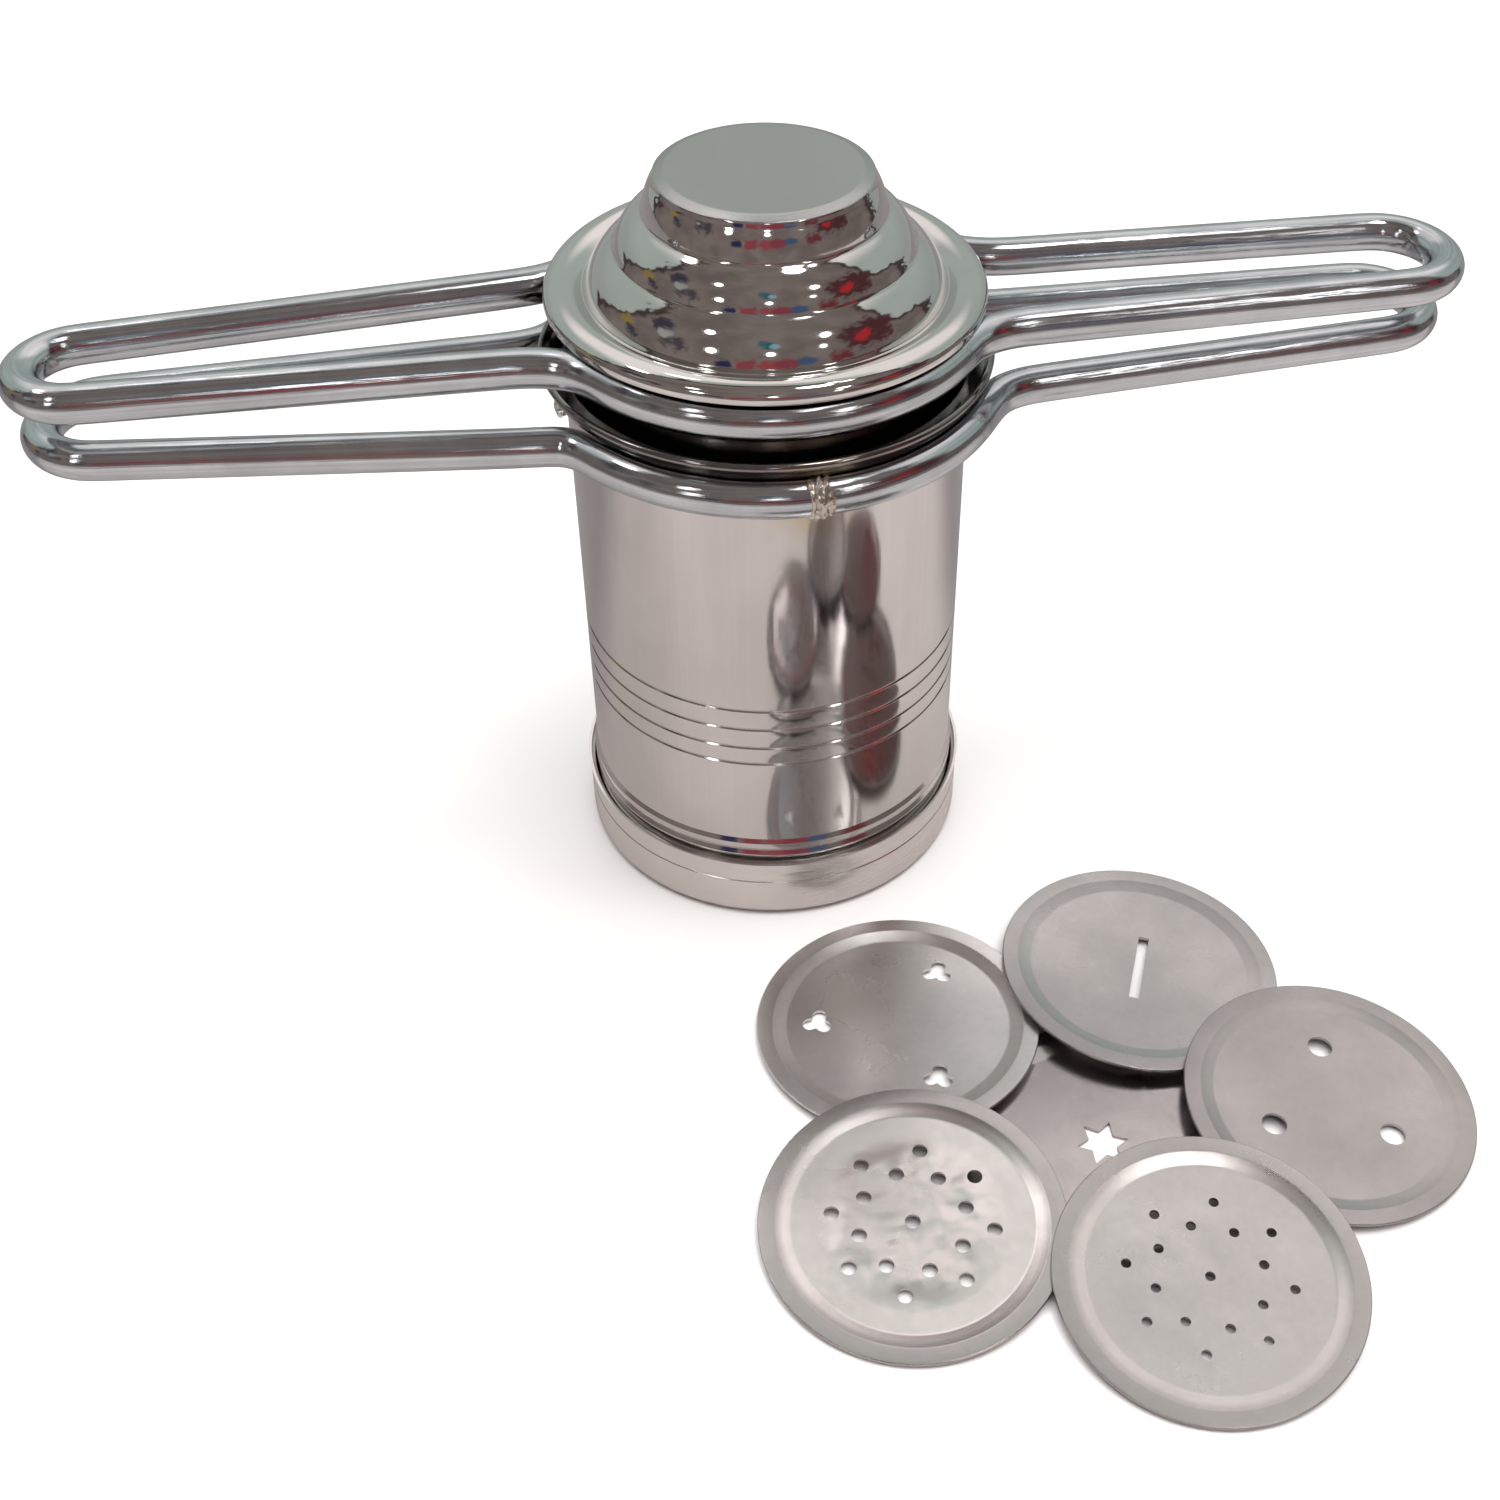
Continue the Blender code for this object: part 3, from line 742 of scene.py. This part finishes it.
def fillet_bead(name, radius, degrees, height, body, node):
    """Lumpy fillet weld in the corner under a ring."""
    bead = bmesh.new()
    bmesh.ops.create_icosphere(bead, subdivisions=4, radius=1.0)
    for v in bead.verts:
        wobble = 1.0 + 0.22 * noise.noise(v.co * 2.1 + Vector((degrees, 0.0, 0.0)))
        v.co = Vector((v.co.x * 1.15, v.co.y * 3.2, v.co.z * 1.05)) * wobble * MM
    stand(bead_object(name, bead, radius, degrees, height), body, "weld", node)


# ---------------------------------------------------------------- dies

# Outlines of holes are lists of (x, y) in mm from the die's centre; turns are in degrees.

def circle(x, y, radius, count=28):
    return [(x + radius * math.cos(2 * math.pi * i / count), y + radius * math.sin(2 * math.pi * i / count))
            for i in range(count)]


def star(outer, inner, turn):
    """Six points between an outer and an inner radius."""
    out = []
    for i in range(12):
        radius = outer if i % 2 == 0 else inner
        a = math.radians(turn + 30.0 * i)
        out.append((radius * math.cos(a), radius * math.sin(a)))
    return out


def trefoil(x, y, lobe, reach, turn):
    """Three round lobes whose centres stand a reach away from the middle."""
    out = []
    for k in range(3):
        base = math.radians(turn + 120.0 * k)
        cx, cy = x + reach * math.cos(base), y + reach * math.sin(base)
        for i in range(13):
            a = base + math.radians(-115.0 + 230.0 * i / 12.0)
            out.append((cx + lobe * math.cos(a), cy + lobe * math.sin(a)))
    return out


def slot_hole(length, width, turn):
    """Straight slot through the middle."""
    a = math.radians(turn)
    c, s = math.cos(a), math.sin(a)
    return [(u * length * c - v * width * s, u * length * s + v * width * c)
            for u, v in ((-0.5, -0.5), (0.5, -0.5), (0.5, 0.5), (-0.5, 0.5))]


def seventeen(radius, turn):
    """Round holes: one in the middle and two rings of eight, half a step apart."""
    out = [circle(0.0, 0.0, radius, 20)]
    for i in range(8):
        out.append(circle(*at(HOLES_OUTER_R, turn + 45.0 * i), radius, 20))
        out.append(circle(*at(HOLES_INNER_R, turn + 22.5 + 45.0 * i), radius, 20))
    return out


def cut_holes(obj, outlines):
    """Cuts upright holes of the given outlines through a flat piece and applies the result."""
    low_z, top_z = -1.5 * MM, 2.5 * MM
    columns = bmesh.new()
    for outline in outlines:
        low = [columns.verts.new((x * MM, y * MM, low_z)) for x, y in outline]
        top = [columns.verts.new((x * MM, y * MM, top_z)) for x, y in outline]
        columns.faces.new(list(reversed(low)))
        columns.faces.new(top)
        for i in range(len(outline)):
            j = (i + 1) % len(outline)
            columns.faces.new((low[i], low[j], top[j], top[i]))
    mesh = bpy.data.meshes.new(obj.name + "_cut")
    columns.to_mesh(mesh)
    columns.free()
    cutter = placed(obj.name + "_cut", mesh)
    cut = obj.modifiers.new("holes", "BOOLEAN")
    cut.operation = "DIFFERENCE"
    cut.solver = "EXACT"
    cut.object = cutter
    graph = bpy.context.evaluated_depsgraph_get()
    done = bpy.data.meshes.new_from_object(obj.evaluated_get(graph))
    done.name = obj.name
    obj.modifiers.clear()
    old = obj.data
    obj.data = done
    bpy.data.meshes.remove(old)
    bpy.data.objects.remove(cutter, do_unlink=True)


def die(name, outlines, centre, height, lean, toward, body, node, material):
    """Pressed disc with holes. Its centre is in mm from the press axis; it leans by some degrees and rises
    toward a direction, with 0 for +X."""
    corners = [
        (0.0, DIE_SHEET, 0.0),
        (20.2, DIE_SHEET, 2.6),
        (22.7, DIE_STEP, 1.4),
        (25.5, DIE_STEP, 0.2),
        (DIE_R, 0.65, 0.15),
        (22.5, DIE_SHEET, 0.8),
        (20.9, 0.0, 1.5),
        (0.0, 0.0, 0.0),
    ]
    obj = lathe(name, filleted(corners, 14), 160, False, [material])
    cut_holes(obj, outlines)
    mesh = obj.data
    mesh.materials.clear()
    mesh.materials.append(material)
    for face in mesh.polygons:
        face.use_smooth = True
    mesh.set_sharp_from_angle(angle=math.radians(35.0))
    way = math.radians(toward)
    axis = Vector((math.sin(way), -math.cos(way), 0.0))
    place = Vector((centre[0] * MM + AXIS.x, centre[1] * MM + AXIS.y, height * MM))
    shift_mesh(obj, Matrix.Translation(place) @ Matrix.Rotation(math.radians(lean), 4, axis))
    stand(obj, body, "die", node)


# ---------------------------------------------------------------- make the pieces

dome()
plunger_tube()
piston()
barrel()
base_cap()
handle("upper_rod", UPPER_RING_R, UPPER_Z, UPPER_LEGS, "plunger", "upper_handle")
handle("lower_rod", LOWER_RING_R, LOWER_Z, LOWER_LEGS, "barrel_body", "lower_handle")
weld_bead("upper_weld", UPPER_RING_R, UPPER_WELD_DEG, UPPER_Z, "plunger", "upper_handle_butt_weld")
weld_bead("lower_weld", LOWER_RING_R, LOWER_WELD_DEG, LOWER_Z, "barrel_body", "lower_handle_butt_weld")
for number, degrees in enumerate(UPPER_TACK_DEG, 1):
    fillet_bead(f"upper_fillet_{number}", UPPER_TACK_R, degrees, UPPER_TACK_Z,
                "plunger", f"upper_tack_weld_{number}")
for number, degrees in enumerate(LOWER_TACK_DEG, 1):
    fillet_bead(f"lower_fillet_{number}", LOWER_TACK_R, degrees, LOWER_TACK_Z,
                "barrel_body", f"lower_tack_weld_{number}")

TREFOILS = [trefoil(*at(14.5, turn), 1.35, 1.5, turn + 20.0) for turn in (48.0, 168.0, -72.0)]
THREE_HOLES = [circle(*at(11.9, turn), 2.2) for turn in (77.0, -163.0, -43.0)]

# Each die: name, holes, centre, height, lean, rising toward,
# (brightness, coolness, brightness of the rim, roughness from, to, waviness, dents)
DIES = (
    ("star", [star(4.6, 2.5, 0.0)], (41.2, -99.5), 0.0, 0.0, 0.0,
     (0.92, 0.0, 0.95, 0.16, 0.24, 0.22, 0.0)),
    ("trefoil", TREFOILS, (11.8, -67.9), 0.9, 2.2, -48.0,
     (1.4, 0.03, 0.95, 0.26, 0.36, 0.16, 0.0)),
    ("slot", [slot_hole(16.0, 1.9, 66.0)], (58.5, -63.2), 1.65, 4.1, -163.0,
     (0.93, 0.01, 0.92, 0.24, 0.34, 0.16, 0.0)),
    ("three_hole", THREE_HOLES, (82.0, -99.0), 1.75, 4.4, 149.0,
     (0.79, 0.0, 0.9, 0.26, 0.36, 0.14, 0.0)),
    ("coarse", seventeen(1.3, 73.0), (5.4, -110.6), 1.8, 4.5, 69.0,
     (1.38, 0.0, 0.66, 0.2, 0.3, 0.16, 0.5)),
    ("fine", seventeen(0.85, 70.0), (50.1, -129.6), 2.35, 5.8, 80.0,
     (1.12, 0.0, 0.78, 0.24, 0.34, 0.16, 0.12)),
)
for number, (kind, holes, centre, height, lean, toward, finish) in enumerate(DIES):
    metal = die_steel(f"die_metal_{kind}", centre, height, *finish, number * 0.13)
    die(f"{kind}_plate", holes, centre, height, lean, toward, f"{kind}_die", f"die_{kind}", metal)


# ---------------------------------------------------------------- floor, light, camera

def floor():
    """Pale floor. Only in reflections its colour is a darker, mottled painted reflection, with painted
    shade behind the press.
    """
    mesh = bpy.data.meshes.new("floor")
    half = 0.8
    corners = [(-half, -half, 0.0), (half, -half, 0.0), (half, half, 0.0), (-half, half, 0.0)]
    mesh.from_pydata(corners, [], [(0, 1, 2, 3)])
    material = bpy.data.materials.new("floor_with_painted_reflection")
    material.use_nodes = True
    n = Nodes(material.node_tree)
    shader = material.node_tree.nodes["Principled BSDF"]
    shader.inputs["Roughness"].default_value = 0.75
    # Painted reflection: rays from the steel see the floor in a darker, mottled colour that stands in for
    # the room's reflection, while the camera sees it pale.
    mirrored = n.add("ShaderNodeLightPath").outputs["Is Glossy Ray"]
    place = n.add("ShaderNodeTexCoord").outputs["Object"]
    reflection_mottle = n.noise(place, 5.0, 3.0, 0.5, 0.5)
    painted_reflection = n.mix(n.span(reflection_mottle, 0.36, 0.64, 0.0, 1.0), (0.50, 0.462, 0.452), (0.38, 0.352, 0.345))
    parts = n.add("ShaderNodeSeparateXYZ")
    n.link(place, parts.inputs[0])
    # Painted shade: in reflections the floor is darker still behind the press.
    painted_shade_behind = n.span(parts.outputs[1], AXIS.y - 0.005, AXIS.y + 0.06, 0.0, 1.0, True)
    painted_reflection = n.mix(painted_shade_behind, painted_reflection, (0.20, 0.187, 0.19))
    n.link(n.mix(mirrored, (0.86, 0.85, 0.845), painted_reflection), shader.inputs["Base Color"])
    mesh.materials.append(material)
    obj = placed("floor", mesh)
    obj.location = (0.0, 0.0, -0.0002)


def soft_light(name, place, size, power, color):
    """Square lamp aimed at the middle of the set and left out of the reflections."""
    data = bpy.data.lights.new(name, "AREA")
    data.shape = "RECTANGLE"
    data.size = size
    data.size_y = size
    data.energy = power
    data.color = color
    obj = placed(name, data)
    obj.location = place
    obj.rotation_euler = (-Vector(place)).to_track_quat("-Z", "Y").to_euler()
    obj.visible_glossy = False


def direction(azimuth, elevation):
    """Unit vector toward an azimuth (0 is +Y, 90 is +X) and an elevation, both in degrees."""
    a, e = math.radians(azimuth), math.radians(elevation)
    return Vector((math.sin(a) * math.cos(e), math.cos(a) * math.cos(e), math.sin(e)))


def room():
    """Soft studio surroundings: a pale grey-green ceiling and far wall, a brown room on the near side
    with a ragged edge, coloured cards low down in it, and small round lamps."""
    world = bpy.data.worlds.new("studio")
    bpy.context.scene.world = world
    world.use_nodes = True
    n = Nodes(world.node_tree)
    world.node_tree.nodes.clear()
    way = n.add("ShaderNodeTexCoord").outputs["Generated"]
    split = n.add("ShaderNodeSeparateXYZ")
    n.link(way, split.inputs[0])
    height = split.outputs[2]

    def toward(vector):
        """Cosine of the angle between the ray and a direction."""
        node = n.add("ShaderNodeVectorMath", operation="DOT_PRODUCT")
        n.link(way, node.inputs[0])
        node.inputs[1].default_value = vector
        return node.outputs["Value"]

    ragged = n.math("SUBTRACT", n.noise(way, 8.0, 4.0, 0.62, 0.6), 0.5)

    def lobe(right, elevation, inner, outer, wander):
        """A soft disc with a ragged outline; right is degrees to the right of the near side."""
        middle, rim = math.cos(math.radians(inner)), math.cos(math.radians(outer))
        value = toward(direction(180.0 + HEADING - right, elevation))
        value = n.math("ADD", value, n.math("MULTIPLY", ragged, wander * (middle - rim)))
        return n.span(value, rim, middle, 0.0, 1.0, True)

    near = toward(direction(180.0 + HEADING, 0.0))
    aside = n.math("ABSOLUTE", toward(direction(90.0 + HEADING, 0.0)))
    blotch = n.noise(way, 2.6, 4.0, 0.6, 0.8)
    cloud = n.noise(way, 3.0, 3.0, 0.5, 0.3)
    ceiling = n.mix(n.span(height, 0.0, 0.4, 0.0, 1.0, True), (0.37, 0.405, 0.385), (0.44, 0.495, 0.46))
    bright = n.math("MULTIPLY", n.span(height, 0.48, 0.64, 0.0, 1.0, True),
                    n.span(height, 0.86, 0.95, 1.0, 0.0, True))
    bright = n.math("MULTIPLY", bright, n.span(aside, 0.45, 0.75, 1.0, 0.0, True))
    ceiling = n.mix(bright, ceiling, (1.02, 0.95, 0.935))
    brown = n.mix(n.span(cloud, 0.36, 0.64, 0.0, 1.0), (0.235, 0.195, 0.182), (0.165, 0.135, 0.128))
    edge = n.math("SUBTRACT", n.math("ADD", near, 0.27), n.math("MULTIPLY", aside, 0.27))
    edge = n.math("ADD", edge, n.math("MULTIPLY", n.math("SUBTRACT", blotch, 0.5), 0.5))
    edge = n.math("ADD", edge, n.span(height, 0.0, 0.5, 0.5, 0.0, True))
    shadow = n.mix(n.span(edge, 0.03, 0.12, 0.0, 1.0, True), (0.06, 0.042, 0.042), brown)
    color = n.mix(n.span(edge, -0.015, 0.01, 0.0, 1.0, True), ceiling, shadow)
    # Cards: degrees to the right, elevation, radius of the full colour, radius of the edge, colour.
    cards = (
        (-9.0, 15.0, 4.0, 9.0, (0.27, 0.06, 0.075)),
        (3.0, 14.0, 5.0, 9.0, (0.31, 0.07, 0.085)),
        (14.0, 15.0, 4.0, 8.0, (0.25, 0.05, 0.07)),
        (-23.0, 14.0, 3.0, 6.0, (0.03, 0.03, 0.08)),
        (27.0, 17.0, 3.0, 6.0, (0.06, 0.10, 0.20)),
        (2.0, 42.0, 3.0, 6.0, (0.03, 0.12, 0.17)),
        (8.0, 40.0, 1.6, 3.6, (0.22, 0.42, 0.50)),
        (72.0, 27.0, 12.0, 20.0, (0.085, 0.03, 0.035)),
        (68.0, 27.0, 3.5, 7.5, (0.48, 0.03, 0.035)),
        (48.0, 14.0, 4.0, 9.0, (0.16, 0.03, 0.04)),
        (-94.0, 15.0, 2.5, 6.0, (0.30, 0.21, 0.05)),
        (-88.0, 9.0, 2.5, 6.0, (0.05, 0.05, 0.06)),
        (-58.0, 22.0, 4.0, 10.0, (0.07, 0.06, 0.07)),
        (-74.0, 34.0, 3.0, 9.0, (0.05, 0.05, 0.07)),
        (-66.0, 28.0, 2.0, 6.0, (0.36, 0.37, 0.35)),
    )
    card_wander = 4.5
    for right, elevation, inner, outer, shade in cards:
        color = n.mix(lobe(right, elevation, inner, outer, card_wander), color, shade)
    # Lamps: the same, with a brightness instead of a colour.
    lamp_wander = 0.8
    lamps = (
        (70.0, 76.0, 3.8, 5.8, 14.0),
        (47.0, 44.0, 1.8, 3.4, 11.0),
        (40.0, 31.0, 1.2, 2.2, 8.0),
        (-104.0, 56.0, 2.2, 4.0, 12.0),
        (-43.0, 49.0, 1.6, 3.0, 11.0),
        (-33.0, 27.0, 1.9, 3.6, 11.0),
        (5.0, 29.0, 1.3, 2.8, 9.0),
        (100.0, 70.0, 1.2, 2.2, 8.0),
        (112.0, 74.0, 1.2, 2.2, 8.0),
        (-150.0, 62.0, 1.6, 3.0, 5.0),
    )
    for right, elevation, inner, outer, power in lamps:
        glow = (power, power * 0.97, power * 0.96)
        color = n.mix(lobe(right, elevation, inner, outer, lamp_wander), color, glow)
    shown = n.add("ShaderNodeLightPath").outputs["Is Camera Ray"]
    color = n.mix(shown, color, (0.95, 0.95, 0.95))
    back = n.add("ShaderNodeBackground")
    n.link(color, back.inputs["Color"])
    out = n.add("ShaderNodeOutputWorld")
    n.link(back.outputs[0], out.inputs["Surface"])


def camera():
    roll = math.radians(ROLL)
    ahead = direction(HEADING, -PITCH)
    right = ahead.cross(Vector((0.0, 0.0, 1.0))).normalized()
    up = right.cross(ahead)
    right, up = right * math.cos(roll) + up * math.sin(roll), up * math.cos(roll) - right * math.sin(roll)
    data = bpy.data.cameras.new("camera")
    data.lens = 47.46
    data.sensor_width = 36.0
    data.sensor_fit = "HORIZONTAL"
    data.shift_x = -0.0616
    data.clip_start = 0.01
    data.clip_end = 50.0
    obj = placed("camera", data)
    turn = Matrix((right, up, -ahead)).transposed().to_4x4()
    obj.matrix_world = Matrix.Translation(AXIS + Vector(CAMERA_PLACE)) @ turn
    bpy.context.scene.camera = obj


floor()
room()
soft_light("overhead", (0.1, -0.1, 1.6), 1.8, 42.0, (1.0, 0.99, 0.98))
camera()
bpy.context.scene.view_settings.view_transform = "Standard"
